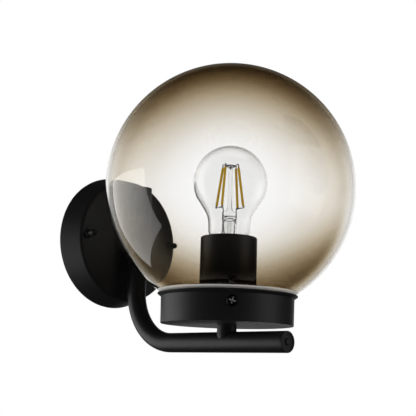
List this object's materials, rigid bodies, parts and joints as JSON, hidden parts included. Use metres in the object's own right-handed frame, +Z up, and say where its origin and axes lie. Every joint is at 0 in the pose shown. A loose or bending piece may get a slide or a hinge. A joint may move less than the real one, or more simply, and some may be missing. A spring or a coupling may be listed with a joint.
{
  "type": "wall light",
  "caption": "Wall light with a smoked glass globe in a shallow metal cup, carried by a J-shaped tube arm on a round wall plate, with a screw-in filament bulb.",
  "frame": {"origin": "the middle of the round wall plate, on the wall surface", "axes": "+Z up; +Y into the wall, so the lamp stands out along -Y; +X to the right for someone facing the wall"},
  "size_m": [0.2, 0.2455, 0.2305],
  "materials": {
    "black_coat": "matt black powder coat",
    "zinc_steel": "bright zinc plate",
    "brass": "plain brass",
    "black_foam": "closed-cell foam",
    "clear_silicone": "pale silicone",
    "black_plastic": "matt moulded plastic",
    "white_plastic": "moulded polyamide",
    "white_ceramic": "glazed ceramic",
    "live_insulation": "brown insulation",
    "neutral_insulation": "blue insulation",
    "earth_insulation": "green and yellow insulation",
    "smoked_glass": "clear smoked glass",
    "bulb_glass": "clear glass",
    "filament": "amber coated filament",
    "lead_wire": "bare nickel wire",
    "bulb_metal": "nickel plate",
    "black_glass": "black vitreous insulator"
  },
  "bodies": {
    "lamp": {"wall_bracket": "zinc_steel", "bracket_studs": "zinc_steel", "stud_nuts": "zinc_steel", "wall_plate": "black_coat", "plate_gasket": "black_foam", "cap_nuts": "black_coat", "terminal_block": "white_plastic", "terminal_clamps": "brass", "terminal_screws": "zinc_steel", "block_screw": "zinc_steel", "earth_screw": "brass", "earth_tag": "brass", "earth_wire": "earth_insulation", "arm_tube": "black_coat", "limb_end_cap": "black_plastic", "arm_end_cap": "black_plastic", "wire_boss": "black_coat", "screw_boss": "black_coat", "arm_nipple": "zinc_steel", "arm_lock_washer": "zinc_steel", "arm_nut": "zinc_steel", "nipple_bush": "black_plastic", "arm_screw": "zinc_steel", "arm_screw_washer": "zinc_steel", "stem_boss": "black_coat", "gallery_cup": "black_coat", "clamp_collars": "black_coat", "holder_nipple": "zinc_steel", "cup_washer": "zinc_steel", "cup_nut": "zinc_steel", "globe_seal": "clear_silicone", "holder_sleeve": "black_plastic", "holder_base": "black_plastic", "holder_insert": "white_ceramic", "holder_shell": "brass", "holder_contact": "brass", "holder_terminal_screws": "brass", "live_wire": "live_insulation", "neutral_wire": "neutral_insulation"},
    "globe": {"glass_globe": "smoked_glass", "globe_neck": "smoked_glass"},
    "bulb_slide": {"bulb_contact": "bulb_metal"},
    "bulb": {"bulb_glass": "bulb_glass", "bulb_stem": "bulb_glass", "bulb_filaments": "filament", "bulb_supports": "lead_wire", "bulb_leads": "lead_wire", "bulb_cap": "bulb_metal", "bulb_insulator": "black_glass"},
    "screw_slide_1": {"screw_pad_1": "black_plastic"},
    "clamp_screw_1": {"clamp_screw_1": "black_coat"},
    "screw_slide_2": {"screw_pad_2": "black_plastic"},
    "clamp_screw_2": {"clamp_screw_2": "black_coat"},
    "screw_slide_3": {"screw_pad_3": "black_plastic"},
    "clamp_screw_3": {"clamp_screw_3": "black_coat"}
  },
  "joints": [
    {"name": "globe_lift", "type": "slide", "parent": "lamp", "child": "globe", "axis": [0, 0, 1], "range_m": [0, 0.15]},
    {"name": "bulb_travel", "type": "slide", "parent": "lamp", "child": "bulb_slide", "axis": [0, 0, 1], "range_m": [0, 0.0255]},
    {"name": "bulb_turn", "type": "hinge", "parent": "bulb_slide", "child": "bulb", "pos_m": [0, -0.1455, 0], "axis": [0, 0, 1], "range_deg": [0, 2520]},
    {"name": "screw_travel_1", "type": "slide", "parent": "lamp", "child": "screw_slide_1", "axis": [-0.6947, -0.7193, 0], "range_m": [0, 0.004]},
    {"name": "screw_turn_1", "type": "hinge", "parent": "screw_slide_1", "child": "clamp_screw_1", "pos_m": [0, -0.1455, -0.064], "axis": [-0.6947, -0.7193, 0], "range_deg": [0, 2057.2]},
    {"name": "screw_travel_2", "type": "slide", "parent": "lamp", "child": "screw_slide_2", "axis": [0.9703, -0.2419, 0], "range_m": [0, 0.004]},
    {"name": "screw_turn_2", "type": "hinge", "parent": "screw_slide_2", "child": "clamp_screw_2", "pos_m": [0, -0.1455, -0.064], "axis": [0.9703, -0.2419, 0], "range_deg": [0, 2057.2]},
    {"name": "screw_travel_3", "type": "slide", "parent": "lamp", "child": "screw_slide_3", "axis": [-0.2756, 0.9613, 0], "range_m": [0, 0.004]},
    {"name": "screw_turn_3", "type": "hinge", "parent": "screw_slide_3", "child": "clamp_screw_3", "pos_m": [0, -0.1455, -0.064], "axis": [-0.2756, 0.9613, 0], "range_deg": [0, 2057.2]}
  ],
  "couplings": [
    {"joint": "bulb_travel", "follows": "bulb_turn", "m_per_rad": 0.00057757},
    {"joint": "screw_turn_1", "follows": "screw_travel_1", "rad_per_m": 8976},
    {"joint": "screw_turn_2", "follows": "screw_travel_2", "rad_per_m": 8976},
    {"joint": "screw_turn_3", "follows": "screw_travel_3", "rad_per_m": 8976}
  ]
}
